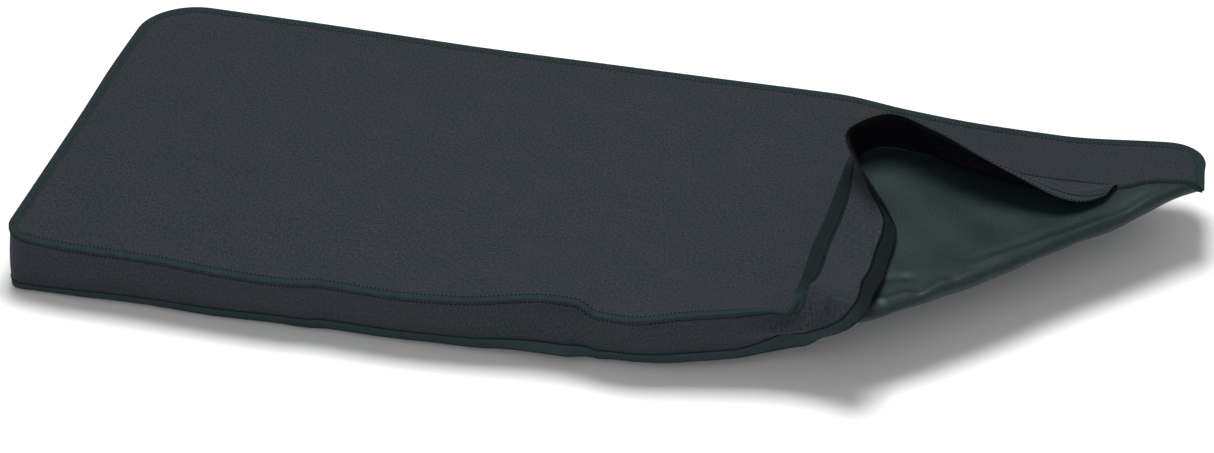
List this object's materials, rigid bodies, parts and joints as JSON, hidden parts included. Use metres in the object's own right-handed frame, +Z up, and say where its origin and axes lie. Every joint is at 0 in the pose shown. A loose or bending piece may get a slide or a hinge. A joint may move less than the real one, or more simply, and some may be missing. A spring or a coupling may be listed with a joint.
{
  "type": "keyboard dust cover",
  "caption": "Fitted cloth dust cover with a rounded top, taped edge and short skirt, its front right corner folded back over the top.",
  "frame": {"origin": "middle of the top's underside, where the cover rests on what it covers", "axes": "+X right along the cover's length, +Y to the back, +Z up; the folded corner is the front right one"},
  "size_m": [1.1578, 0.4879, 0.1652],
  "materials": {
    "cloth": "woven charcoal nylon, smooth grey-green coating on its underside",
    "edge_tape": "matt woven tape",
    "hem_tape": "matt woven tape"
  },
  "bodies": {
    "root": {"top_panel": "cloth", "edge_tape": "edge_tape", "skirt_front": "cloth", "skirt_right": "cloth", "skirt_back": "cloth", "skirt_left": "cloth", "hem_tape_front": "hem_tape", "hem_tape_right": "hem_tape", "hem_tape_back": "hem_tape", "hem_tape_left": "hem_tape"}
  },
  "joints": []
}
